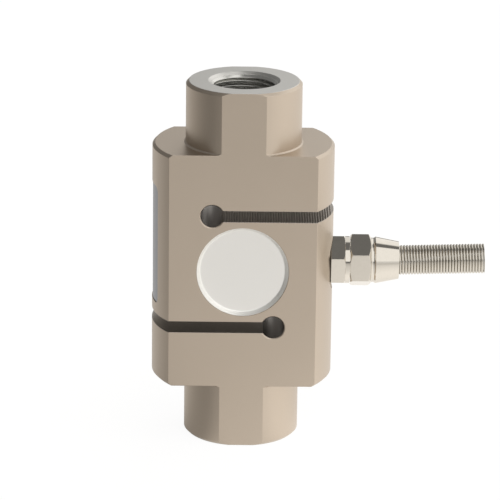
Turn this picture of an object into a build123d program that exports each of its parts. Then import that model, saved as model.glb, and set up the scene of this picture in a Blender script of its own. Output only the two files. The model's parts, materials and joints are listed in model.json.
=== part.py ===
from build123d import *
from math import cos, pi, radians, tan
import os

# An S-type tension and compression load cell turned from one bar.
# Z runs along the load axis, the front flat faces -Y and the cable gland leaves along +X.
# The origin is the centre of the lower neck's end face. All sizes are in millimetres.

# Spring element: turned barrel and necks, with one flat milled on the front and one on the back
barrel_diameter = 55.0
neck_diameter = 35.0
across_flats = 32.4
barrel_height = 72.6
neck_height = 19.1
barrel_chamfer = 0.8
neck_chamfer = 0.9
shoulder_root = 0.4

# Threaded load holes, one in each neck
thread_diameter = 20.0
thread_depth = 24.0
thread_mouth_diameter = 21.6

# Slots that part the S, each ending in a relief hole
slot_width = 3.5
slot_spacing = 34.9
relief_diameter = 6.8
relief_offset = 9.3
relief_edge_break = 0.35

# Gauge pockets on both sides of the shear web
web_thickness = 5.0
pocket_diameter = 24.0
wire_hole_diameter = 2.4

# Dished sealing caps
cap_diameter = 27.8
cap_floor_thickness = 0.5
cap_dish_depth = 1.6
cap_floor_diameter = 25.7
cap_clearance = 0.03

# Strain gauges, bonded at 45 degrees to the load
gauge_length = 6.4
gauge_width = 3.6
gauge_film = 0.12
grid_height = 0.06
grid_lines = 5
grid_length = 3.4
grid_line_width = 0.3
grid_pitch = 0.55
tab_size = 1.0
gauge_centre_x = -2.2
gauge_centre_rise = 3.9
gauge_angle = 45.0

# Terminal boards beside the gauges, with the trim resistors on the front one
board_width = 4.4
board_height = 10.5
board_thickness = 1.0
board_offset = 8.2
pad_size = 0.9
pad_height = 0.12
pad_column = 1.2
gauge_pad_count = 4
gauge_pad_pitch = 1.9
bridge_pad_rise = 1.7
resistor_length = 2.0
resistor_width = 1.2
resistor_height = 0.5
resistor_rise = 4.0

# Leads between gauges, boards and the far side of the web
ribbon_width = 0.4
ribbon_thickness = 0.1
ribbon_arch = 1.5
bridge_wire_diameter = 0.5
bridge_wire_sides = 6
bridge_wire_rise = 0.6
bridge_arch = 1.0

# Type plate, a bare foil in a shallow recess on the side away from the cable
plate_width = 20.0
plate_height = 36.8
plate_corner = 2.0
plate_rise = 6.1
plate_recess_depth = 0.5
plate_thickness = 0.3
plate_gap = 0.15

# Gland port: spot face, tapped hole and the slanting wire passage to the front pocket
gland_drop = 0.8
gland_seat_depth = 1.0
spot_face_diameter = 17.5
gland_thread_diameter = 10.0
gland_port_depth = 9.0
thread_clearance = 0.05
passage_diameter = 3.5
passage_angle = 45.0

# Gland body: hexagon on its sealing washer, collar and the threaded nose that the nut runs on
hex_sides = 6
body_hex = 14.2
body_hex_length = 4.3
body_turn = 12.0
body_hex_end_diameter = 15.0
hex_chamfer_angle = 30.0
gland_shank_length = 8.0
collar_diameter = 14.4
collar_length = 1.4
nose_diameter = 11.0
nose_length = 5.3
cable_diameter = 5.0
cable_passage_clearance = 0.3

# Seals and thrust ring inside the gland
washer_diameter = 13.6
washer_thickness = 0.4
grommet_diameter = 8.3
grommet_clearance = 0.05
grommet_seat = 0.5
clamp_ring_thickness = 0.8
clamp_ring_clearance = 0.15

# Gland nut: hexagon, land, groove and cone
nut_gap = 0.2
nut_hex = 14.5
nut_hex_length = 6.3
nut_turn = 3.6
nut_hex_start_diameter = 14.9
nut_hex_end_diameter = 14.0
nut_land_diameter = 14.5
nut_land_length = 0.6
nut_groove_diameter = 13.8
nut_groove_length = 0.8
cone_root_diameter = 14.3
cone_nose_diameter = 11.5
cone_length = 7.1
nut_bore_diameter = 7.4

# Bend protection spring, close wound, gripped in the nut's mouth
spring_diameter = 9.1
spring_wire = 0.9
spring_groove = 0.3
spring_sides = 12
spring_free_turns = 29
spring_grip_turns = 4
spring_clearance = 0.12
spring_seat_gap = 0.15
spring_tilt = 1.7

# Places worked out from the sizes above
barrel_radius = barrel_diameter / 2
neck_radius = neck_diameter / 2
half_flats = across_flats / 2
half_web = web_thickness / 2
total_height = barrel_height + 2 * neck_height
mid_height = total_height / 2
barrel_top = neck_height + barrel_height
upper_slot_height = mid_height + slot_spacing / 2
lower_slot_height = mid_height - slot_spacing / 2
relief_radius = relief_diameter / 2
cap_seat_depth = cap_dish_depth + cap_floor_thickness
gland_height = mid_height - gland_drop
gland_seat = barrel_radius - gland_seat_depth
plate_height_centre = mid_height + plate_rise
gauge_top = half_web + gauge_film + grid_height
board_top = half_web + board_thickness
pad_top = board_top + pad_height

# Stations along the gland's axis, counted from the spot face
body_hex_start = washer_thickness
collar_start = body_hex_start + body_hex_length
nose_start = collar_start + collar_length
nose_end = nose_start + nose_length
grommet_start = nose_start + grommet_seat
nut_start = nose_start + nut_gap
nut_hex_end = nut_start + nut_hex_length
nut_ledge = nose_end + clamp_ring_thickness
nut_groove_start = nut_hex_end + nut_land_length
cone_start = nut_groove_start + nut_groove_length
cone_end = cone_start + cone_length
spring_grip_length = spring_grip_turns * spring_wire
spring_root = cone_end - spring_grip_length

front_side = Plane(origin=(0, 0, mid_height), x_dir=(1, 0, 0), z_dir=(0, -1, 0))
gland_axis = Plane(origin=(gland_seat, 0, gland_height), x_dir=(0, 0, 1), z_dir=(1, 0, 0))


def turned_bar():
    """The bar as it leaves the lathe, with its chamfered ends and a small cone at each neck's root."""
    lower_half = [
        (0, 0),
        (neck_radius - neck_chamfer, 0),
        (neck_radius, neck_chamfer),
        (neck_radius, neck_height - shoulder_root),
        (neck_radius + shoulder_root, neck_height),
        (barrel_radius - barrel_chamfer, neck_height),
        (barrel_radius, neck_height + barrel_chamfer),
    ]
    upper_half = [(radius, total_height - height) for radius, height in reversed(lower_half)]
    outline = Polyline(*lower_half, *upper_half, close=True)
    return revolve(Plane.XZ * make_face(outline), Axis.Z)


def load_hole():
    """One threaded load hole, mouth at the origin, cut downwards."""
    thread_radius = thread_diameter / 2
    mouth_radius = thread_mouth_diameter / 2
    outline = Polyline(
        (0, 0),
        (mouth_radius, 0),
        (thread_radius, -(mouth_radius - thread_radius)),
        (thread_radius, -thread_depth),
        (0, -thread_depth),
        close=True,
    )
    return revolve(Plane.XZ * make_face(outline), Axis.Z)


def slot():
    """A slot that runs from its relief hole at the origin out past the barrel along +X."""
    reach = relief_offset + barrel_radius + slot_width
    cut = Box(reach, across_flats + slot_width, slot_width, align=(Align.MIN, Align.CENTER, Align.CENTER))
    return cut + relief_hole()


def relief_hole():
    """The round end of a slot, with the lip broken on both flats."""
    outline = Polyline(
        (0, 0),
        (relief_radius, 0),
        (relief_radius, half_flats - relief_edge_break),
        (relief_radius + 2 * relief_edge_break, half_flats + relief_edge_break),
        (0, half_flats + relief_edge_break),
        close=True,
    )
    half = Rot(90, 0, 0) * revolve(Plane.XZ * make_face(outline), Axis.Z)
    return half + mirror(half, about=Plane.XZ)


def gauge_pocket():
    """The pocket on the front of the web, with the stepped seat of its cap."""
    pocket_depth = half_flats - half_web
    bore = Pos(0, 0, half_web) * Cylinder(
        pocket_diameter / 2, pocket_depth, align=(Align.CENTER, Align.CENTER, Align.MIN)
    )
    seat = Pos(0, 0, half_flats) * Cylinder(
        cap_diameter / 2, cap_seat_depth, align=(Align.CENTER, Align.CENTER, Align.MAX)
    )
    return front_side * (bore + seat)


def gland_port():
    """Spot face, tapped hole and the slanting passage that lets the wires into the front pocket."""
    spot_face = Cylinder(
        spot_face_diameter / 2, 2 * gland_seat_depth, align=(Align.CENTER, Align.CENTER, Align.MIN)
    )
    tapped = Cylinder(
        gland_thread_diameter / 2, gland_port_depth, align=(Align.CENTER, Align.CENTER, Align.MAX)
    )
    port = gland_axis * (spot_face + tapped)
    passage_length = (gland_seat - gland_port_depth) / cos(radians(passage_angle))
    passage = Cylinder(
        passage_diameter / 2, passage_length, align=(Align.CENTER, Align.CENTER, Align.MIN)
    )
    heading = Plane(
        origin=(gland_seat - gland_port_depth, 0, gland_height),
        z_dir=(-1, -tan(radians(passage_angle)), 0),
    )
    inside = Pos(0, 0, gland_height) * Cylinder(gland_seat - gland_port_depth + passage_diameter,
                                                spot_face_diameter)
    return port + (heading * passage & inside)


def plate_outline(inset, depth_out, depth_in):
    """A curved, round-cornered patch of the barrel's side, between two depths below its surface."""
    window = RectangleRounded(
        plate_width - 2 * inset, plate_height - 2 * inset, plate_corner - inset
    )
    facing = Plane(origin=(0, 0, plate_height_centre), x_dir=(0, -1, 0), z_dir=(-1, 0, 0))
    block = extrude(facing * window, amount=2 * barrel_radius)
    shell = Cylinder(barrel_radius - depth_out, total_height) - Cylinder(
        barrel_radius - depth_in, total_height
    )
    return block & (Pos(0, 0, mid_height) * shell)


def spring_element():
    """The machined body: barrel, necks, flats, slots, pockets, ports and threaded holes."""
    bar = turned_bar()
    bar &= Pos(0, 0, mid_height) * Box(2 * barrel_diameter, across_flats, 2 * total_height)
    bar -= Pos(0, 0, total_height) * load_hole()
    bar -= Rot(180, 0, 0) * load_hole()
    bar -= Pos(-relief_offset, 0, upper_slot_height) * slot()
    bar -= Pos(relief_offset, 0, lower_slot_height) * (Rot(0, 180, 0) * slot())
    bar -= gauge_pocket()
    bar -= mirror(gauge_pocket(), about=Plane.XZ)
    bar -= Pos(board_offset, 0, mid_height) * (
        Rot(90, 0, 0) * Cylinder(wire_hole_diameter / 2, 2 * web_thickness)
    )
    bar -= gland_port()
    bar -= plate_outline(0, -plate_recess_depth, plate_recess_depth)
    return bar


def type_plate():
    return plate_outline(plate_gap, plate_recess_depth - plate_thickness, plate_recess_depth)


def sealing_cap():
    """A round cap with a dished face, flush with the flat at its rim."""
    rim = cap_diameter / 2 - cap_clearance
    floor = cap_floor_diameter / 2
    back = half_flats - cap_seat_depth
    dish = half_flats - cap_dish_depth
    outline = Polyline(
        (0, back), (rim, back), (rim, half_flats), (floor, dish), (0, dish), close=True
    )
    return front_side * revolve(Plane.XZ * make_face(outline), Axis.Z)


def strain_gauge(rise):
    """A film with its meandering foil grid and two solder tabs."""
    film = Pos(0, 0, gauge_film / 2) * Box(gauge_length, gauge_width, gauge_film)
    foil_level = gauge_film + grid_height / 2
    grid_start = gauge_length / 2 - tab_size - grid_line_width
    grid = []
    for line in range(grid_lines):
        across = (line - (grid_lines - 1) / 2) * grid_pitch
        grid.append(
            Pos(grid_start - grid_length / 2, across, foil_level)
            * Box(grid_length, grid_line_width, grid_height)
        )
    for turn in range(grid_lines - 1):
        across = (turn - (grid_lines - 2) / 2) * grid_pitch
        end = grid_start - grid_length if turn % 2 == 0 else grid_start
        inward = grid_line_width / 2 if turn % 2 == 0 else -grid_line_width / 2
        grid.append(
            Pos(end + inward, across, foil_level)
            * Box(grid_line_width, grid_pitch + grid_line_width, grid_height)
        )
    for side in (-1, 1):
        across = side * (grid_lines - 1) / 2 * grid_pitch
        grid.append(
            Pos(grid_start + tab_size / 2, across, foil_level) * Box(tab_size, tab_size, grid_height)
        )
    gauge = film
    for foil in grid:
        gauge += foil
    turn_sign = 1 if rise > 0 else -1
    return Pos(gauge_centre_x, rise, half_web) * (Rot(0, 0, turn_sign * gauge_angle) * gauge)


def gauge_tab(rise, side):
    """The middle of one solder tab, in the front side's plane."""
    grid_start = gauge_length / 2 - tab_size - grid_line_width
    along = grid_start + tab_size / 2
    across = side * (grid_lines - 1) / 2 * grid_pitch
    turned = Vector(along, across, 0).rotate(Axis.Z, gauge_angle if rise > 0 else -gauge_angle)
    return gauge_centre_x + turned.X, rise + turned.Y


def terminal_board():
    """A small board bonded to the web, drilled for the bridge wires, with its solder pads."""
    board = Pos(board_offset, 0, half_web + board_thickness / 2) * Box(
        board_width, board_height, board_thickness
    )
    board -= Pos(board_offset, 0, half_web) * Cylinder(
        wire_hole_diameter / 2, 2 * board_thickness, align=(Align.CENTER, Align.CENTER, Align.MIN)
    )
    for x, y in gauge_pads() + bridge_pads():
        board += Pos(x, y, board_top + pad_height / 2) * Box(pad_size, pad_size, pad_height)
    return board


def gauge_pads():
    """Solder pads for the gauge leads, in a column on the gauges' side of the board."""
    first = -(gauge_pad_count - 1) / 2 * gauge_pad_pitch
    return [(board_offset - pad_column, first + pad * gauge_pad_pitch) for pad in range(gauge_pad_count)]


def bridge_pads():
    return [(board_offset + pad_column, side * bridge_pad_rise) for side in (-1, 1)]


def trim_resistor(side):
    return Pos(board_offset + pad_column, side * resistor_rise, board_top + resistor_height / 2) * Box(
        resistor_width, resistor_length, resistor_height
    )


def ribbon_lead(tab, pad):
    """A flat lead, formed square: up from a gauge tab, across, and down on its pad."""
    level = pad_top + ribbon_arch
    start = Vector(*tab, gauge_top)
    end = Vector(*pad, pad_top)
    path = Polyline(start, Vector(*tab, level), Vector(*pad, level), end)
    across = Vector(end.X - start.X, end.Y - start.Y, 0).normalized()
    foot = Plane(origin=start, x_dir=across, z_dir=(0, 0, 1))
    return sweep(foot * Rectangle(ribbon_thickness, ribbon_width), path=path, transition=Transition.RIGHT)


def gauge_leads():
    """The four leads of one side's gauges, tab to pad without crossing."""
    tabs = [
        gauge_tab(-gauge_centre_rise, -1),
        gauge_tab(-gauge_centre_rise, 1),
        gauge_tab(gauge_centre_rise, -1),
        gauge_tab(gauge_centre_rise, 1),
    ]
    return [ribbon_lead(tab, pad) for tab, pad in zip(tabs, gauge_pads())]


def bridge_wires():
    """Two wires through the web that join the front board to the rear one."""
    wires = []
    level = pad_top + bridge_arch
    for x, y in bridge_pads():
        through = bridge_wire_rise if y > 0 else -bridge_wire_rise
        path = Polyline(
            (x, y, pad_top),
            (x, y, level),
            (board_offset, through, level),
            (board_offset, through, -level),
            (x, y, -level),
            (x, y, -pad_top),
        )
        foot = Plane(origin=(x, y, pad_top), z_dir=(0, 0, 1))
        section = foot * RegularPolygon(bridge_wire_diameter / 2, bridge_wire_sides)
        wires.append(front_side * sweep(section, path=path, transition=Transition.RIGHT))
    return wires


def turned(points):
    """A solid of revolution about the gland's axis from (station, radius) points."""
    outline = Polyline(*[(radius, station) for station, radius in points], close=True)
    return revolve(Plane.XZ * make_face(outline), Axis.Z)


def hexagon(across, start, length, turn, end_diameter, start_diameter=None):
    """A hexagon along the gland's axis, its corners turned back at the end and, if asked, the start."""
    corner = across / 2 / cos(pi / hex_sides)

    def drop(face_diameter):
        return (corner - face_diameter / 2) * tan(radians(hex_chamfer_angle))

    start_points = [(start, corner)]
    if start_diameter:
        start_points = [(start, start_diameter / 2), (start + drop(start_diameter), corner)]
    prism = Pos(0, 0, start) * extrude(
        RegularPolygon(across / 2, hex_sides, major_radius=False, rotation=turn), amount=length
    )
    envelope = turned([
        (start, 0),
        *start_points,
        (start + length - drop(end_diameter), corner),
        (start + length, end_diameter / 2),
        (start + length, 0),
    ])
    return prism & envelope


def gland_body():
    """Hexagon and collar between the shank in the barrel and the nose inside the nut."""
    shank = gland_thread_diameter / 2 - thread_clearance
    bore = cable_diameter / 2 + cable_passage_clearance
    nose = nose_diameter / 2
    grommet = grommet_diameter / 2 + grommet_clearance
    body = hexagon(body_hex, body_hex_start, body_hex_length, body_turn, body_hex_end_diameter)
    body += turned([
        (-gland_shank_length, 0),
        (-gland_shank_length, shank),
        (collar_start, shank),
        (collar_start, collar_diameter / 2),
        (nose_start, collar_diameter / 2),
        (nose_start, nose),
        (nose_end, nose),
        (nose_end, 0),
    ])
    return body - turned([
        (-gland_shank_length, 0),
        (-gland_shank_length, bore),
        (grommet_start, bore),
        (grommet_start, grommet),
        (nose_end, grommet),
        (nose_end, 0),
    ])


def gland_washer():
    """The flat sealing washer between the hexagon and the spot face."""
    inner, outer = gland_thread_diameter / 2, washer_diameter / 2
    return turned([(0, inner), (0, outer), (body_hex_start, outer), (body_hex_start, inner)])


def gland_grommet():
    inner, outer = cable_diameter / 2, grommet_diameter / 2
    return turned([
        (grommet_start, inner), (grommet_start, outer), (nose_end, outer), (nose_end, inner)
    ])


def gland_clamp_ring():
    inner = cable_diameter / 2 + cable_passage_clearance
    outer = nose_diameter / 2 - clamp_ring_clearance
    return turned([(nose_end, inner), (nose_end, outer), (nut_ledge, outer), (nut_ledge, inner)])


def gland_nut():
    """The nut that squeezes the grommet and carries the bend protection spring."""
    thread = nose_diameter / 2 + thread_clearance
    land = nut_land_diameter / 2
    groove = nut_groove_diameter / 2
    groove_middle = nut_groove_start + nut_groove_length / 2
    pocket = spring_diameter / 2 + spring_clearance
    hex_end = nut_hex_end_diameter / 2
    nut = hexagon(
        nut_hex, nut_start, nut_hex_length, nut_turn, nut_hex_end_diameter, nut_hex_start_diameter
    )
    nut += turned([
        (nut_hex_end - nut_land_length, 0),
        (nut_hex_end - nut_land_length, hex_end),
        (nut_hex_end, hex_end),
        (nut_groove_start, land),
        (groove_middle, groove),
        (cone_start, cone_root_diameter / 2),
        (cone_end, cone_nose_diameter / 2),
        (cone_end, 0),
    ])
    return nut - turned([
        (nut_start, 0),
        (nut_start, thread),
        (nut_ledge, thread),
        (nut_ledge, nut_bore_diameter / 2),
        (spring_root - spring_seat_gap, nut_bore_diameter / 2),
        (spring_root - spring_seat_gap, pocket),
        (cone_end, pocket),
        (cone_end, 0),
    ])


def spring_prism(diameter, start, end):
    """A straight stretch of the spring's many-sided section."""
    section = RegularPolygon(diameter / 2, spring_sides)
    return Pos(0, 0, start) * extrude(section, amount=end - start)


def bend_spring():
    """The close-wound spring as one ridged tube, with a ridge for each turn outside the nut."""
    outer = spring_diameter / 2
    valley = outer - spring_groove
    spring_end = cone_end + spring_free_turns * spring_wire
    sections = []
    for turn in range(spring_free_turns):
        start = cone_end + turn * spring_wire
        sections.append(Pos(0, 0, start) * RegularPolygon(valley, spring_sides))
        sections.append(Pos(0, 0, start + spring_wire / 2) * RegularPolygon(outer, spring_sides))
    sections.append(Pos(0, 0, spring_end) * RegularPolygon(valley, spring_sides))
    coil = loft(sections, ruled=True)
    coil += spring_prism(spring_diameter, spring_root, cone_end)
    coil -= spring_prism(spring_diameter - 2 * spring_wire, spring_root, spring_end)
    pivot = Pos(0, 0, cone_end - spring_grip_length / 2)
    return pivot * (Rot(0, spring_tilt, 0) * (pivot.inverse() * coil))


def save(name, shape):
    """Write one node. A list of solids becomes one group."""
    if isinstance(shape, list):
        shape = Compound(children=shape)
    export_step(shape, f"parts/{name}.step")


def rear(shape):
    """The same piece on the other side of the web."""
    return mirror(shape, about=Plane.XZ)


os.makedirs("parts", exist_ok=True)
save("spring_element", spring_element())
save("front_cap", sealing_cap())
save("rear_cap", rear(sealing_cap()))
save("type_plate", type_plate())

for level, rise in (("upper", gauge_centre_rise), ("lower", -gauge_centre_rise)):
    gauge = front_side * strain_gauge(rise)
    save(f"front_{level}_gauge", gauge)
    save(f"rear_{level}_gauge", rear(gauge))

board = front_side * terminal_board()
save("front_terminal_board", board)
save("rear_terminal_board", rear(board))
save("zero_trim_resistor", front_side * trim_resistor(1))
save("span_trim_resistor", front_side * trim_resistor(-1))

leads = [front_side * lead for lead in gauge_leads()]
save("front_gauge_leads", leads)
save("rear_gauge_leads", [rear(lead) for lead in leads])
save("bridge_wires", bridge_wires())

save("gland_body", gland_axis * gland_body())
save("gland_washer", gland_axis * gland_washer())
save("gland_grommet", gland_axis * gland_grommet())
save("gland_clamp_ring", gland_axis * gland_clamp_ring())
save("gland_nut", gland_axis * gland_nut())
save("bend_spring", gland_axis * bend_spring())
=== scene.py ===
import json
from math import atan2, cos, hypot, pi, radians, sin, tan, tau

import bmesh
import bpy
from mathutils import Matrix, Vector


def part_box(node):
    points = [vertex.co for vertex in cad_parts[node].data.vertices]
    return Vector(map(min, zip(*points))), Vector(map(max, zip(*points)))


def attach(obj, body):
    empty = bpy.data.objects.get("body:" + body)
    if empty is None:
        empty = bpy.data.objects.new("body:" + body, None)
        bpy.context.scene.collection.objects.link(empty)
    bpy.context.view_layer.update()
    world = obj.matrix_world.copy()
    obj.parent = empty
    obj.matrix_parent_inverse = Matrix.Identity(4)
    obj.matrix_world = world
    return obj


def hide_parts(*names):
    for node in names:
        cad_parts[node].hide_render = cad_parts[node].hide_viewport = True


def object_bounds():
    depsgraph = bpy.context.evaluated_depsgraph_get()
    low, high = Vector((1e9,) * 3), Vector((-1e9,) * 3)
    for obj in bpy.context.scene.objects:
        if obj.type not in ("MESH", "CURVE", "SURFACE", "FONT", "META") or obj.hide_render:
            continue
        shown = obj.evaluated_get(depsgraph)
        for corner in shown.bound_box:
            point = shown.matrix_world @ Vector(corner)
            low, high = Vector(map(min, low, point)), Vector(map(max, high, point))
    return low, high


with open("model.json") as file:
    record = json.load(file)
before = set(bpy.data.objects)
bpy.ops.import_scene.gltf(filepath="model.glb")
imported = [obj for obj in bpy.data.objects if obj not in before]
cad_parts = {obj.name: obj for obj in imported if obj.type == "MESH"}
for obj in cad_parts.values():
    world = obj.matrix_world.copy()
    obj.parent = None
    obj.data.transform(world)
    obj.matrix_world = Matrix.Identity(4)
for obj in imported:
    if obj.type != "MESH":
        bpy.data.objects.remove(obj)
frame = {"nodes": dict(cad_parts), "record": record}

# Looks of the load cell. Everything is in metres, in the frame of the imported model.
MM = 0.001
cad_low, cad_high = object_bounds()
record = frame["record"]
mounts = {mount["name"]: mount for mount in record["mounts"]}
MID_HEIGHT = (cad_low.z + cad_high.z) / 2

# Camera, as fitted to the photographed outlines
PHOTO_SIZE = 500
CAMERA_PLACE = Vector((-5.944, -922.966, 351.308)) * MM
CAMERA_YAW = radians(0.5117)
CAMERA_PITCH = radians(-17.6647)
CAMERA_ROLL = radians(0.7152)
FOCAL_PIXELS = 3179.38
SENSOR_WIDTH = 36.0
CAMERA_NEAR = 0.05
CAMERA_FAR = 20.0

# The end faces and load holes are machined after plating and stay cooler in tone
END_FINISH = 0.08 * MM
LOAD_HOLE_RADIUS = 10.85 * MM
THREADED_RADIUS = 10.05 * MM
LOAD_HOLE_DEPTH = 25.0 * MM

# Slots that part the S, as in the solids
SLOT_WIDTH = 3.5 * MM
SLOT_SPACING = 34.9 * MM
RELIEF_RADIUS = 3.4 * MM
RELIEF_OFFSET = 9.3 * MM
# How far past the slot and relief-hole walls their painted shade reaches
SLOT_SHADE_REACH = 0.06 * MM
RIDGE_PITCH = 0.78 * MM
RIDGE_HEIGHT = 0.15 * MM
RIDGE_EMBED = 0.03 * MM
RIDGE_POINTS = 5
RIDGE_INSET = 0.05 * MM

# Machined edges are rounded by this much, in their shading alone
EDGE_BREAK = 0.25 * MM
EDGE_SAMPLES = 8

# Vertices closer than this are one, and those of a thread are told apart in nanometres
MERGE_DISTANCE = 0.0001 * MM
NANOMETRES = 1e9

# Load thread, M20 x 1.5
THREAD_PITCH = 1.5 * MM
THREAD_HEIGHT = 0.5413 * THREAD_PITCH
THREAD_CREST = 0.25 * THREAD_PITCH
THREAD_ROOT = 0.125 * THREAD_PITCH
THREAD_EMBED = 0.02 * MM
THREAD_STEPS = 96

# The thread is less rough than the faces by this much
THREAD_GLOSS = 0.16

# Sealing caps, as in the solids, with their edges rounded
CAP_DISH = 1.6 * MM
CAP_FLOOR_RADIUS = 12.85 * MM
CAP_FLOOR_ROUND = 0.6 * MM
CAP_RIM_ROUND = 0.1 * MM
CAP_SIDES = 160
SHARP_ANGLE = radians(40)

# Gland nut as in the solids, along its length from its near end, with one smooth hollow for its waist
NUT_FLATS = 14.5 * MM
NUT_HEX_LENGTH = 6.3 * MM
NUT_START_RADIUS = 7.45 * MM
NUT_END_RADIUS = 7.0 * MM
NUT_CHAMFER = radians(30)
NUT_CONE_START = 7.7 * MM
NUT_CONE_ROOT = 7.15 * MM
NUT_CONE_NOSE = 5.75 * MM
NUT_WAIST_DEPTH = 0.3 * MM
NUT_THREAD_RADIUS = 5.55 * MM
NUT_LEDGE = 5.9 * MM
NUT_BORE_RADIUS = 3.7 * MM
NUT_POCKET_RADIUS = 4.67 * MM
NUT_POCKET_START = 11.05 * MM
NUT_CHAMFER_ROWS = 16
NUT_WAIST_ROWS = 14
NUT_SIDES = 360

# Bend protection spring: the solid's length, wound at the photographed pitch and turn
SPRING_DIAMETER = 9.1 * MM
SPRING_GRIP = 3.6 * MM
SPRING_FREE = 26.1 * MM
SPRING_PITCH = 0.891 * MM
SPRING_WIRE = 0.85 * MM
SPRING_PHASE = radians(-152)
SPRING_TILT = radians(1.7)
SPRING_END_TRIM = 0.03 * MM
WIRE_SIDES = 12
WIRE_STEPS = 40

# Tones are pairs, dark and light, that a surface's noise moves between
PLATING_TONES = (0.546, 0.469, 0.386), (0.583, 0.503, 0.418)
FACED_TONES = (0.600, 0.595, 0.572), (0.664, 0.658, 0.634)
# Slot walls and relief-hole walls take these darker tones: painted shade of those recesses, not a finish
SLOT_SHADE_TONES = (0.370, 0.340, 0.305), (0.440, 0.405, 0.365)
RELIEF_SHADE_TONES = (0.220, 0.202, 0.186), (0.280, 0.258, 0.238)
SATIN_ROUGHNESS = 0.34, 0.42
SATIN_RELIEF = 0.006 * MM
SATIN_STRENGTH = 0.35
CLOUD_SCALE = 45.0
GRAIN_SCALE = 9000.0
RING_STRETCH = 20.0, 20.0, 4000.0
RING_WEIGHT = 0.6
HAZE_SCALE = 900.0
NOISE_RANGE = 0.3, 0.7
GRAIN_RELIEF = 0.01 * MM
GRAIN_STRENGTH = 0.3

# World light by direction. Arcs run in degrees from the front, over the top, to the back, and x and z
# are parts of the direction. A pair is a band with eased edges where an edge value goes with it, and
# otherwise an eased passage from its first value to its second
DEGREES = 180 / pi
WORLD_BASE = 0.2
WORLD_TINT = 1.0, 0.985, 0.96
BOX_LEVEL = 1.06
BOX_WIDTH = -0.45, 0.9
BOX_WIDTH_EDGE = 0.2
FRONT_BOTTOM_ARC = 6.0, 10.0
FRONT_TOP_ARC = 64.0
FRONT_TOP_RISE = 24.0
FRONT_TOP_EDGE = 2.5
FRONT_RISE_X = 0.02, 0.28
BACK_ARC = 112.0, 168.0
BACK_ARC_EDGE = 6.0
BACK_X = -0.12, 0.12
BACK_LEVELS = 0.15, 1.05
RIGHT_LEVEL = 0.7
RIGHT_X = 0.1, 0.35
RIGHT_Z = -0.9, 0.3
UPPER_RIGHT_X = 0.45, 0.7
UPPER_RIGHT_Z = 0.0, 0.85
RIGHT_EDGE = 0.15

# Floor. Glow angles run in degrees around the object, 0 at the front and 90 at the right. Its radii
# and depths are places on the floor, and each pair is an eased passage from its first value to its second
# The glow is painted light and shade in the floor, brightest to the right and darkest at the left and far
# in front
FLOOR_REACH = 6.0
FLOOR_TINT = 0.8, 0.79, 0.775
FLOOR_WHITE_LEVEL = 1.12
FLOOR_WHITE_SHARE = 0.82
GLOW_TINT = 1.0, 0.97, 0.93
GLOW_RADII = 0.05, 0.3
GLOW_LEFT_LEVELS = 0.437, 0.323
GLOW_LEFT_TO_FRONT = -60.0, -5.0
GLOW_FRONT_LEVEL = 0.95
GLOW_BACK_TO_LEFT = -170.0, -70.0
GLOW_BACK_GAIN = 0.52
GLOW_FRONT_TO_RIGHT = 5.0, 60.0
GLOW_RIGHT_GAIN = 0.36
GLOW_RIGHT_TO_BACK = 70.0, 130.0
GLOW_RIGHT_BACK_LOSS = 0.19
GLOW_DEPTHS = -0.6, 0.1
GLOW_DEPTH_LEVELS = 0.74, 1.0


class Graph:
    """Adds nodes to a material's or the world's tree, and returns sockets to wire on."""

    # Sockets of a colour mix, which share their names with those of its other data types
    MIX_FIRST = 6
    MIX_SECOND = 7
    MIX_RESULT = 2

    def __init__(self, tree):
        self.tree = tree
        tree.nodes.clear()

    def add(self, kind, **settings):
        node = self.tree.nodes.new(kind)
        for name, value in settings.items():
            setattr(node, name, value)
        return node

    def feed(self, socket, value):
        """Link a socket to a socket, or set its own value."""
        if isinstance(value, bpy.types.NodeSocket):
            self.tree.links.new(value, socket)
        else:
            socket.default_value = value

    def math(self, operation, *values):
        node = self.add("ShaderNodeMath", operation=operation)
        for socket, value in zip(node.inputs, values):
            self.feed(socket, value)
        return node.outputs[0]

    def ramp(self, value, low, high, start=0.0, end=1.0):
        """start below low, end above high, and an eased passage between them."""
        node = self.add("ShaderNodeMapRange", interpolation_type="SMOOTHSTEP")
        for socket, item in zip(node.inputs, (value, low, high, start, end)):
            self.feed(socket, item)
        return node.outputs[0]

    def band(self, value, low, high, edge):
        """1 between low and high, with eased edges."""
        rise = self.ramp(value, low - edge, low + edge)
        fall = self.ramp(value, high - edge, high + edge, 1.0, 0.0)
        return self.math("MULTIPLY", rise, fall)

    def mix(self, factor, first, second):
        node = self.add("ShaderNodeMix", data_type="RGBA")
        self.feed(node.inputs["Factor"], factor)
        self.feed(node.inputs[self.MIX_FIRST], first)
        self.feed(node.inputs[self.MIX_SECOND], second)
        return node.outputs[self.MIX_RESULT]

    def tones(self, factor, pair):
        """From the pair's dark tone at 0 to its light one at 1."""
        dark, light = pair
        return self.mix(factor, colour(*dark), colour(*light))

    def noise(self, vector, scale, detail=2.0):
        node = self.add("ShaderNodeTexNoise")
        self.feed(node.inputs["Vector"], vector)
        self.feed(node.inputs["Scale"], scale)
        self.feed(node.inputs["Detail"], detail)
        return node.outputs["Fac"]

    def object_place(self, stretch=(1, 1, 1)):
        coordinates = self.add("ShaderNodeTexCoord")
        mapping = self.add("ShaderNodeMapping")
        self.feed(mapping.inputs["Vector"], coordinates.outputs["Object"])
        mapping.inputs["Scale"].default_value = stretch
        return mapping.outputs["Vector"]


def colour(red, green, blue):
    return (red, green, blue, 1.0)


def principled(graph, base, roughness, metallic, normal):
    shader = graph.add("ShaderNodeBsdfPrincipled")
    graph.feed(shader.inputs["Base Color"], base)
    graph.feed(shader.inputs["Roughness"], roughness)
    graph.feed(shader.inputs["Metallic"], metallic)
    graph.feed(shader.inputs["Normal"], normal)
    output = graph.add("ShaderNodeOutputMaterial")
    graph.feed(output.inputs["Surface"], shader.outputs[0])


def new_material(name):
    made = bpy.data.materials.new(name)
    made.use_nodes = True
    return made, Graph(made.node_tree)


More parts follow.
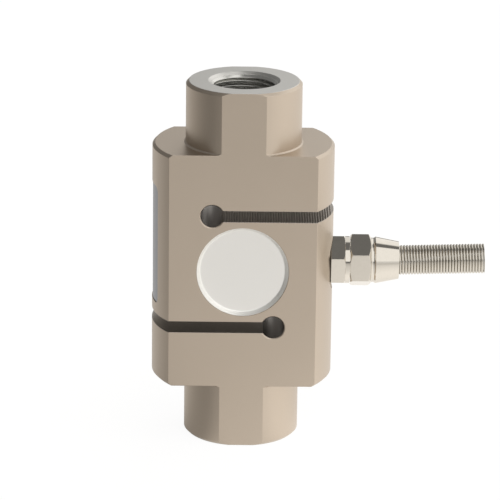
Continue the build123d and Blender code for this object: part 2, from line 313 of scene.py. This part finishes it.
def bump(graph, height, distance, strength, normal=None):
    node = graph.add("ShaderNodeBump")
    node.inputs["Strength"].default_value = strength
    node.inputs["Distance"].default_value = distance
    graph.feed(node.inputs["Height"], height)
    if normal:
        graph.feed(node.inputs["Normal"], normal)
    return node.outputs[0]


def bevel(graph, radius):
    node = graph.add("ShaderNodeBevel", samples=EDGE_SAMPLES)
    node.inputs["Radius"].default_value = radius
    return node.outputs[0]


def machined_after_plating(graph, place):
    """1 on the two end faces and inside the load holes, and 1 on the threads alone."""
    split = graph.add("ShaderNodeSeparateXYZ")
    graph.feed(split.inputs[0], place)
    x, y, z = split.outputs
    from_middle = graph.math("ABSOLUTE", graph.math("SUBTRACT", z, MID_HEIGHT))
    end = graph.ramp(from_middle, MID_HEIGHT - END_FINISH, MID_HEIGHT - END_FINISH / 2)
    within_depth = graph.math("GREATER_THAN", from_middle, MID_HEIGHT - LOAD_HOLE_DEPTH)
    radius = graph.math("SQRT", graph.math("MULTIPLY_ADD", x, x, graph.math("MULTIPLY", y, y)))
    in_hole = graph.math("MULTIPLY", within_depth, graph.math("LESS_THAN", radius, LOAD_HOLE_RADIUS))
    on_thread = graph.math("MULTIPLY", within_depth, graph.math("LESS_THAN", radius, THREADED_RADIUS))
    return graph.math("MAXIMUM", end, in_hole), on_thread


def inside_slots(graph, place):
    """1 on the walls of the two slots, and 1 on the walls of their relief holes, where shade is painted.
    """
    split = graph.add("ShaderNodeSeparateXYZ")
    graph.feed(split.inputs[0], place)
    x = split.outputs["X"]
    z = split.outputs["Z"]
    slots = []
    holes = []
    for side in (1, -1):
        rise = graph.math("SUBTRACT", z, MID_HEIGHT + side * SLOT_SPACING / 2)
        along = graph.math("MULTIPLY_ADD", x, side, RELIEF_OFFSET)
        level = graph.math("LESS_THAN", graph.math("ABSOLUTE", rise), SLOT_WIDTH / 2 + SLOT_SHADE_REACH)
        slots.append(graph.math("MULTIPLY", level, graph.math("GREATER_THAN", along, 0.0)))
        squares = graph.math("MULTIPLY_ADD", rise, rise, graph.math("MULTIPLY", along, along))
        holes.append(graph.math("LESS_THAN", graph.math("SQRT", squares), RELIEF_RADIUS + SLOT_SHADE_REACH))
    return graph.math("MAXIMUM", *slots), graph.math("MAXIMUM", *holes)


def plated_steel():
    """Satin nickel plating: a fine even grain, faint turning rings and slow changes of tone. Painted
    shade darkens the walls of the slots and relief holes.
    """
    made, graph = new_material("plated_steel")
    place = graph.object_place()
    cloud = graph.noise(place, CLOUD_SCALE, detail=3.0)
    grain = graph.noise(place, GRAIN_SCALE)
    rings = graph.noise(graph.object_place(RING_STRETCH), 1.0)
    slot_shade_mask, relief_shade_mask = inside_slots(graph, place)
    machined, on_thread = machined_after_plating(graph, place)
    base = graph.mix(machined, graph.tones(cloud, PLATING_TONES), graph.tones(cloud, FACED_TONES))
    # Painted shade: the slot walls and relief-hole walls are darkened below the plating's tones
    base = graph.mix(slot_shade_mask, base, graph.tones(grain, SLOT_SHADE_TONES))
    base = graph.mix(relief_shade_mask, base, graph.tones(grain, RELIEF_SHADE_TONES))
    satin = graph.ramp(grain, *NOISE_RANGE, *SATIN_ROUGHNESS)
    rough = graph.math("MULTIPLY_ADD", on_thread, -THREAD_GLOSS, satin)
    relief = graph.math("MULTIPLY_ADD", rings, RING_WEIGHT, grain)
    normal = bump(graph, relief, SATIN_RELIEF, SATIN_STRENGTH, bevel(graph, EDGE_BREAK))
    principled(graph, base, rough, 1.0, normal)
    return made


def polished(name, tones, roughness, edge):
    """Polished plating with a slight haze."""
    made, graph = new_material(name)
    place = graph.object_place()
    haze = graph.noise(place, HAZE_SCALE, detail=3.0)
    rough = graph.ramp(haze, *NOISE_RANGE, *roughness)
    principled(graph, graph.tones(haze, tones), rough, 1.0, bevel(graph, edge))
    return made


def simple(name, tones, roughness, scale, metallic=0.0):
    """A plain surface with a grain in its tone and gloss."""
    made, graph = new_material(name)
    grain = graph.noise(graph.object_place(), scale, detail=3.0)
    rough = graph.ramp(grain, *NOISE_RANGE, *roughness)
    normal = bump(graph, grain, GRAIN_RELIEF, GRAIN_STRENGTH)
    principled(graph, graph.tones(grain, tones), rough, metallic, normal)
    return made


MATERIALS = {
    "plated_steel": plated_steel(),
    "cap_steel": simple(
        "cap_steel", tones=((0.93, 0.925, 0.90), (0.96, 0.955, 0.93)),
        roughness=(0.42, 0.50), scale=6000.0, metallic=1.0,
    ),
    "plate_foil": simple(
        "plate_foil", tones=((0.34, 0.355, 0.385), (0.40, 0.415, 0.445)),
        roughness=(0.34, 0.44), scale=6000.0, metallic=1.0,
    ),
    "plated_brass": polished(
        "plated_brass", tones=((0.62, 0.587, 0.527), (0.68, 0.643, 0.583)),
        roughness=(0.055, 0.095), edge=0.1 * MM,
    ),
    "spring_steel": polished(
        "spring_steel", tones=((0.52, 0.49, 0.44), (0.59, 0.56, 0.50)),
        roughness=(0.08, 0.14), edge=0.02 * MM,
    ),
    "seal_rubber": simple(
        "seal_rubber", tones=((0.085, 0.070, 0.055), (0.110, 0.092, 0.072)),
        roughness=(0.55, 0.75), scale=2500.0,
    ),
    "gauge_film": simple(
        "gauge_film", tones=((0.55, 0.30, 0.08), (0.68, 0.42, 0.14)),
        roughness=(0.30, 0.40), scale=4000.0,
    ),
    "board": simple(
        "board", tones=((0.03, 0.14, 0.05), (0.05, 0.19, 0.07)),
        roughness=(0.35, 0.50), scale=3000.0,
    ),
    "resistor": simple(
        "resistor", tones=((0.02, 0.02, 0.025), (0.03, 0.03, 0.035)),
        roughness=(0.20, 0.30), scale=5000.0,
    ),
    "copper": simple(
        "copper", tones=((0.70, 0.36, 0.22), (0.80, 0.44, 0.28)),
        roughness=(0.25, 0.35), scale=3000.0, metallic=1.0,
    ),
    "wire_sleeve": simple(
        "wire_sleeve", tones=((0.50, 0.03, 0.02), (0.60, 0.05, 0.03)),
        roughness=(0.35, 0.45), scale=3000.0,
    ),
}


def finish_cad_nodes():
    """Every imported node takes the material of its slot."""
    for part in record["subparts"]:
        node = frame["nodes"][part["node"]]
        node.data.materials.clear()
        node.data.materials.append(MATERIALS[part["material_slot"]])


def new_piece(name, vertices, faces, slot, smooth=True):
    mesh = bpy.data.meshes.new(name)
    mesh.from_pydata(vertices, [], faces)
    mesh.validate()
    shape = bmesh.new()
    shape.from_mesh(mesh)
    bmesh.ops.remove_doubles(shape, verts=shape.verts, dist=MERGE_DISTANCE)
    bmesh.ops.recalc_face_normals(shape, faces=shape.faces)
    shape.to_mesh(mesh)
    shape.free()
    mesh.materials.append(MATERIALS[slot])
    if smooth:
        mesh.shade_smooth()
    piece = bpy.data.objects.new(name, mesh)
    bpy.context.scene.collection.objects.link(piece)
    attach(piece, "root")
    return piece


def grid_faces(rows, columns, wrap_rows=False):
    """Quads over a grid of rows by columns; the columns close into a ring."""
    faces = []
    for row in range(rows if wrap_rows else rows - 1):
        for column in range(columns):
            after = (column + 1) % columns
            below = (row + 1) % rows
            faces.append((
                row * columns + column, row * columns + after,
                below * columns + after, below * columns + column,
            ))
    return faces


def load_thread(name, mount_name):
    """The helical thread of one load hole, a thin ring: a cone at the mouth, then the turns."""
    mount = mounts[mount_name]
    wall = mount["dims"]["r_mm"] * MM
    length = mount["dims"]["length_mm"] * MM
    out = mount["axis"][2]
    flank = (THREAD_PITCH - THREAD_CREST - THREAD_ROOT) / 2
    root = wall - THREAD_EMBED
    crest = wall - THREAD_HEIGHT
    corners = [
        (0.0, root), (THREAD_ROOT, root),
        (THREAD_ROOT + flank, crest), (THREAD_ROOT + flank + THREAD_CREST, crest),
    ]
    turns = int(length / THREAD_PITCH) + 2
    rows = [
        (turn * THREAD_PITCH + depth, radius)
        for turn in range(-2, turns) for depth, radius in corners
    ]
    vertices = []
    numbers = {}

    def place(step, depth, radius):
        """The number of the vertex at this step of the circle, made when it is first asked for."""
        key = (step % THREAD_STEPS, round(depth * NANOMETRES), round(radius * NANOMETRES))
        if key not in numbers:
            numbers[key] = len(vertices)
            angle = -tau * step / THREAD_STEPS
            height = mount["pos_m"][2] - out * depth
            vertices.append((radius * cos(angle), radius * sin(angle) * out, height))
        return numbers[key]

    def thread_place(row, step):
        depth = rows[row][0] + step / THREAD_STEPS * THREAD_PITCH
        if depth <= THREAD_HEIGHT:
            return place(step, THREAD_HEIGHT, crest)
        if depth >= length:
            return place(step, length, root)
        return place(step, depth, min(root, max(rows[row][1], wall - (length - depth))))

    faces = []

    def add_face(*corner_numbers):
        kept = list(dict.fromkeys(corner_numbers))
        if len(kept) > 2:
            faces.append(kept)

    shell = [
        (THREAD_HEIGHT, crest), (0.0, root), (0.0, wall + THREAD_EMBED),
        (length, wall + THREAD_EMBED), (length, root),
    ]
    for step in range(THREAD_STEPS):
        for row in range(len(rows) - 1):
            add_face(
                thread_place(row, step), thread_place(row + 1, step),
                thread_place(row + 1, step + 1), thread_place(row, step + 1),
            )
        for first, second in zip(shell, shell[1:]):
            add_face(
                place(step, *second), place(step, *first),
                place(step + 1, *first), place(step + 1, *second),
            )
    new_piece(name, vertices, faces, "plated_steel", smooth=False)


def slot_ridges():
    """The marks that the slotting cutter left across the upper slot's lower wall, as low round ridges."""
    wall = MID_HEIGHT + SLOT_SPACING / 2 - SLOT_WIDTH / 2
    barrel_radius = -cad_low.x
    half_flats = -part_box("spring_element")[0].y
    start = -RELIEF_OFFSET + RELIEF_RADIUS
    count = int((barrel_radius - start) / RIDGE_PITCH)
    vertices = []
    for point in range(count * RIDGE_POINTS + 1):
        share = point / RIDGE_POINTS
        x = start + share * RIDGE_PITCH
        reach = min(half_flats, (barrel_radius ** 2 - x ** 2) ** 0.5) - RIDGE_INSET
        crest = wall - RIDGE_EMBED + RIDGE_HEIGHT * abs(sin(pi * share))
        floor_level = wall - 2 * RIDGE_EMBED
        vertices += [(x, -reach, crest), (x, reach, crest)]
        vertices += [(x, reach, floor_level), (x, -reach, floor_level)]
    faces = grid_faces(len(vertices) // 4, 4)
    faces.append((0, 1, 2, 3))
    faces.append(tuple(len(vertices) - corner for corner in (1, 2, 3, 4)))
    new_piece("slot_ridges", vertices, faces, "plated_steel", smooth=False)


def arc_points(centre, radius, start, end, steps=6):
    """Points of an arc, with its angles in degrees."""
    angles = [radians(start + (end - start) * step / steps) for step in range(steps + 1)]
    return [(centre[0] + radius * cos(angle), centre[1] + radius * sin(angle)) for angle in angles]


def lathe(name, outline, sides, slot, to_place):
    """An outline of (radius, height) points from axis to axis, turned and set in place by to_place."""
    vertices = []
    for radius, height in outline:
        for side in range(sides):
            angle = tau * side / sides
            vertices.append(to_place @ Vector((radius * cos(angle), radius * sin(angle), height)))
    piece = new_piece(name, vertices, grid_faces(len(outline), sides), slot)
    piece.data.set_sharp_from_angle(angle=SHARP_ANGLE)
    return piece


def sealing_cap(node, side):
    """A pressed cap with the solid's outline: a flat floor, a slope up to the flat, and rounded edges."""
    low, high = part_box(node)
    outer = (high.x - low.x) / 2
    flat = max(-low.y, high.y)
    back = flat - (high.y - low.y)
    floor_level = flat - CAP_DISH
    slope = atan2(CAP_DISH, outer - CAP_FLOOR_RADIUS)
    lift = slope * DEGREES
    floor_centre = (CAP_FLOOR_RADIUS - CAP_FLOOR_ROUND * tan(slope / 2), floor_level + CAP_FLOOR_ROUND)
    rim_centre = (outer - CAP_RIM_ROUND, flat - CAP_RIM_ROUND * (1 + sin(slope)) / cos(slope))
    outline = [(0.0, floor_level)]
    outline += arc_points(floor_centre, CAP_FLOOR_ROUND, -90.0, -90.0 + lift)
    outline += arc_points(rim_centre, CAP_RIM_ROUND, 90.0 + lift, 0.0)
    outline += [(outer, back), (0.0, back)]
    centre = Vector(((low.x + high.x) / 2, 0, (low.z + high.z) / 2))
    to_place = Matrix.Translation(centre) @ Matrix.Rotation(side * pi / 2, 4, "X")
    cap = lathe(node + "_pressing", outline, CAP_SIDES, "cap_steel", to_place)
    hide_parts(node)


def smooth_nut():
    """The nut: a hexagon cut by its chamfers' cones, a smooth waist, the cone and the stepped bore."""
    low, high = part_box("gland_nut")
    axis_height = mounts["cable_bore"]["pos_m"][2]
    node = frame["nodes"]["gland_nut"]
    places = [node.matrix_world @ vertex.co for vertex in node.data.vertices]
    corner = max(places, key=lambda place: hypot(place.y, place.z - axis_height))
    corner_angle = atan2(corner.z - axis_height, corner.y)
    corner_radius = NUT_FLATS / 2 / cos(pi / 6)
    rise = 1 / tan(NUT_CHAMFER)
    start_chamfer = (corner_radius - NUT_START_RADIUS) / rise
    end_chamfer = (corner_radius - NUT_END_RADIUS) / rise
    hexagon = [start_chamfer * row / NUT_CHAMFER_ROWS for row in range(NUT_CHAMFER_ROWS + 1)]
    hexagon += [
        NUT_HEX_LENGTH - end_chamfer * (1 - row / NUT_CHAMFER_ROWS)
        for row in range(NUT_CHAMFER_ROWS + 1)
    ]
    rows = []
    for station in hexagon:
        from_start = NUT_START_RADIUS + station * rise
        from_end = NUT_END_RADIUS + (NUT_HEX_LENGTH - station) * rise
        rows.append((station, min(from_start, from_end)))
    for row in range(1, NUT_WAIST_ROWS + 1):
        share = row / NUT_WAIST_ROWS
        station = NUT_HEX_LENGTH + (NUT_CONE_START - NUT_HEX_LENGTH) * share
        straight = NUT_END_RADIUS + (NUT_CONE_ROOT - NUT_END_RADIUS) * share
        rows.append((station, straight - NUT_WAIST_DEPTH * sin(pi * share)))
    length = high.x - low.x
    rows += [
        (length, NUT_CONE_NOSE), (length, NUT_POCKET_RADIUS), (NUT_POCKET_START, NUT_POCKET_RADIUS),
        (NUT_POCKET_START, NUT_BORE_RADIUS), (NUT_LEDGE, NUT_BORE_RADIUS), (NUT_LEDGE, NUT_THREAD_RADIUS),
        (0.0, NUT_THREAD_RADIUS),
    ]
    vertices = []
    for station, limit in rows:
        for side in range(NUT_SIDES):
            turn = tau * side / NUT_SIDES
            flat_radius = NUT_FLATS / 2 / cos(turn % (pi / 3) - pi / 6)
            radius = min(limit, flat_radius)
            angle = corner_angle + turn
            vertices.append((low.x + station, radius * cos(angle), axis_height + radius * sin(angle)))
    faces = grid_faces(len(rows), NUT_SIDES, wrap_rows=True)
    nut = new_piece("smooth_gland_nut", vertices, faces, "plated_brass")
    nut.data.set_sharp_from_angle(angle=SHARP_ANGLE)
    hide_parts("gland_nut")


def helix_wire():
    """The close-wound wire, swept along its helix, ground flat at its end and tilted as the solid is."""
    nut_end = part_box("gland_nut")[1].x
    axis_height = mounts["cable_bore"]["pos_m"][2]
    mean = (SPRING_DIAMETER - SPRING_WIRE) / 2
    radius = SPRING_WIRE / 2
    turns = (SPRING_GRIP + SPRING_FREE) / SPRING_PITCH
    ground_end = nut_end + SPRING_FREE - SPRING_END_TRIM
    start = nut_end - SPRING_GRIP + radius
    pivot = Vector((nut_end - SPRING_GRIP / 2, 0, axis_height))
    tilt = Matrix.Translation(pivot) @ Matrix.Rotation(-SPRING_TILT, 4, "Y") @ Matrix.Translation(-pivot)
    vertices = []
    count = int(turns * WIRE_STEPS)
    for step in range(count + 1):
        angle = SPRING_PHASE + tau * step / WIRE_STEPS
        centre = Vector((
            start + SPRING_PITCH * step / WIRE_STEPS, mean * cos(angle), axis_height + mean * sin(angle)
        ))
        along = Vector((SPRING_PITCH / tau, -mean * sin(angle), mean * cos(angle))).normalized()
        outward = Vector((0, cos(angle), sin(angle)))
        side = along.cross(outward)
        for corner in range(WIRE_SIDES):
            turn = tau * corner / WIRE_SIDES
            point = centre + radius * (cos(turn) * outward + sin(turn) * side)
            point.x = min(point.x, ground_end)
            vertices.append(tilt @ point)
    faces = grid_faces(count + 1, WIRE_SIDES)
    faces.append(tuple(range(WIRE_SIDES)))
    faces.append(tuple(reversed(range(count * WIRE_SIDES, (count + 1) * WIRE_SIDES))))
    wire = new_piece("bend_spring_wire", vertices, faces, "spring_steel")
    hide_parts("bend_spring")


def camera():
    data = bpy.data.cameras.new("camera")
    data.sensor_width = SENSOR_WIDTH
    data.lens = FOCAL_PIXELS / PHOTO_SIZE * SENSOR_WIDTH
    data.clip_start = CAMERA_NEAR
    data.clip_end = CAMERA_FAR
    forward = Vector((
        sin(CAMERA_YAW) * cos(CAMERA_PITCH), cos(CAMERA_YAW) * cos(CAMERA_PITCH), sin(CAMERA_PITCH)
    ))
    level = forward.cross(Vector((0, 0, 1))).normalized()
    rise = level.cross(forward)
    right = cos(CAMERA_ROLL) * level + sin(CAMERA_ROLL) * rise
    up = cos(CAMERA_ROLL) * rise - sin(CAMERA_ROLL) * level
    turn = Matrix((right, up, -forward)).transposed()
    made = bpy.data.objects.new("camera", data)
    made.matrix_world = Matrix.Translation(CAMERA_PLACE) @ turn.to_4x4()
    bpy.context.scene.collection.objects.link(made)
    bpy.context.scene.camera = made


def studio_world():
    """White to the camera. To all else, soft boxes in front, behind and to the right.

    Where two boxes overlap the brighter one counts, so that they never add up.
    """
    world = bpy.data.worlds.new("studio")
    bpy.context.scene.world = world
    world.use_nodes = True
    graph = Graph(world.node_tree)
    direction = graph.add("ShaderNodeSeparateXYZ")
    graph.feed(direction.inputs[0], graph.add("ShaderNodeTexCoord").outputs["Generated"])
    x, y, z = direction.outputs
    front = graph.math("MULTIPLY", y, -1.0)
    arc = graph.math("MULTIPLY", graph.math("ARCTAN2", z, front), DEGREES)
    width = graph.band(x, *BOX_WIDTH, BOX_WIDTH_EDGE)

    front_top = graph.math("MULTIPLY_ADD", graph.ramp(x, *FRONT_RISE_X), FRONT_TOP_RISE, FRONT_TOP_ARC)
    below_top = graph.ramp(graph.math("SUBTRACT", front_top, arc), -FRONT_TOP_EDGE, FRONT_TOP_EDGE)
    front_box = graph.math("MULTIPLY", graph.ramp(arc, *FRONT_BOTTOM_ARC), below_top)
    front_box = graph.math("MULTIPLY", front_box, width)
    back_box = graph.math("MULTIPLY", graph.band(arc, *BACK_ARC, BACK_ARC_EDGE), width)
    back_level = graph.ramp(x, *BACK_X, *BACK_LEVELS)
    right_box = graph.math("MULTIPLY", graph.ramp(x, *RIGHT_X), graph.band(z, *RIGHT_Z, RIGHT_EDGE))
    upper_height = graph.band(z, *UPPER_RIGHT_Z, RIGHT_EDGE)
    upper_right_box = graph.math("MULTIPLY", graph.ramp(x, *UPPER_RIGHT_X), upper_height)

    light = graph.math("MULTIPLY", front_box, BOX_LEVEL)
    light = graph.math("MAXIMUM", light, graph.math("MULTIPLY", back_box, back_level))
    light = graph.math("MAXIMUM", light, graph.math("MULTIPLY", right_box, RIGHT_LEVEL))
    light = graph.math("MAXIMUM", light, graph.math("MULTIPLY", upper_right_box, BOX_LEVEL))
    light = graph.math("ADD", light, WORLD_BASE)
    rays = graph.add("ShaderNodeLightPath")
    strength = graph.math("MAXIMUM", light, rays.outputs["Is Camera Ray"])
    lit = graph.mix(rays.outputs["Is Camera Ray"], colour(*WORLD_TINT), colour(1.0, 1.0, 1.0))
    background = graph.add("ShaderNodeBackground")
    graph.feed(background.inputs["Color"], lit)
    graph.feed(background.inputs["Strength"], strength)
    output = graph.add("ShaderNodeOutputWorld")
    graph.feed(output.inputs["Surface"], background.outputs[0])


def floor():
    """A floor that the camera sees white with a soft shadow, and that metal sees as a glow with painted
    light and shade, brightest to the right and darkest at the left.
    """
    corners = [(x * FLOOR_REACH, y * FLOOR_REACH, 0) for x, y in ((-1, -1), (1, -1), (1, 1), (-1, 1))]
    mesh = bpy.data.meshes.new("floor")
    mesh.from_pydata(corners, [], [(0, 1, 2, 3)])
    made = bpy.data.objects.new("floor", mesh)
    bpy.context.scene.collection.objects.link(made)
    material, graph = new_material("floor_white")
    place = graph.add("ShaderNodeSeparateXYZ")
    graph.feed(place.inputs[0], graph.object_place())
    x = place.outputs["X"]
    y = place.outputs["Y"]
    rays = graph.add("ShaderNodeLightPath")
    diffuse = graph.add("ShaderNodeBsdfDiffuse")
    diffuse.inputs["Color"].default_value = colour(*FLOOR_TINT)
    glow = graph.add("ShaderNodeEmission")
    glow.inputs["Color"].default_value = colour(1.0, 1.0, 1.0)
    glow.inputs["Strength"].default_value = FLOOR_WHITE_LEVEL
    seen = graph.add("ShaderNodeMixShader")
    seen.inputs[0].default_value = FLOOR_WHITE_SHARE
    graph.feed(seen.inputs[1], diffuse.outputs[0])
    graph.feed(seen.inputs[2], glow.outputs[0])
    # Seen only by glossy and transmission rays: light and shade painted into the floor's glow, brighter
    # to the right, darker at the left and further in front
    painted_floor_glow = graph.add("ShaderNodeEmission")
    front = graph.math("MULTIPLY", y, -1.0)
    around = graph.math("MULTIPLY", graph.math("ARCTAN2", x, front), DEGREES)
    radius = graph.math("SQRT", graph.math("MULTIPLY_ADD", x, x, graph.math("MULTIPLY", y, y)))
    left_level = graph.ramp(radius, *GLOW_RADII, *GLOW_LEFT_LEVELS)
    left_side = graph.ramp(around, *GLOW_LEFT_TO_FRONT, left_level, GLOW_FRONT_LEVEL)
    left_back = graph.ramp(around, *GLOW_BACK_TO_LEFT, GLOW_BACK_GAIN, 0.0)
    right_side = graph.ramp(around, *GLOW_FRONT_TO_RIGHT, 0.0, GLOW_RIGHT_GAIN)
    right_back = graph.ramp(around, *GLOW_RIGHT_TO_BACK, 0.0, -GLOW_RIGHT_BACK_LOSS)
    left_light = graph.math("ADD", left_side, left_back)
    light = graph.math("ADD", left_light, graph.math("ADD", right_side, right_back))
    depth_level = graph.ramp(y, *GLOW_DEPTHS, *GLOW_DEPTH_LEVELS)
    painted_floor_glow.inputs["Color"].default_value = colour(*GLOW_TINT)
    graph.feed(painted_floor_glow.inputs["Strength"], graph.math("MULTIPLY", light, depth_level))
    shiny = graph.math("MAXIMUM", rays.outputs["Is Glossy Ray"], rays.outputs["Is Transmission Ray"])
    mirrored = graph.add("ShaderNodeMixShader")
    graph.feed(mirrored.inputs[0], shiny)
    graph.feed(mirrored.inputs[1], diffuse.outputs[0])
    graph.feed(mirrored.inputs[2], painted_floor_glow.outputs[0])
    out = graph.add("ShaderNodeMixShader")
    graph.feed(out.inputs[0], rays.outputs["Is Camera Ray"])
    graph.feed(out.inputs[1], mirrored.outputs[0])
    graph.feed(out.inputs[2], seen.outputs[0])
    output = graph.add("ShaderNodeOutputMaterial")
    graph.feed(output.inputs["Surface"], out.outputs[0])
    mesh.materials.append(material)


bpy.context.scene.view_settings.view_transform = "Standard"
finish_cad_nodes()
helix_wire()
load_thread("upper_load_thread", "upper_thread")
load_thread("lower_load_thread", "lower_thread")
slot_ridges()
sealing_cap("front_cap", 1)
sealing_cap("rear_cap", -1)
smooth_nut()
camera()
studio_world()
floor()
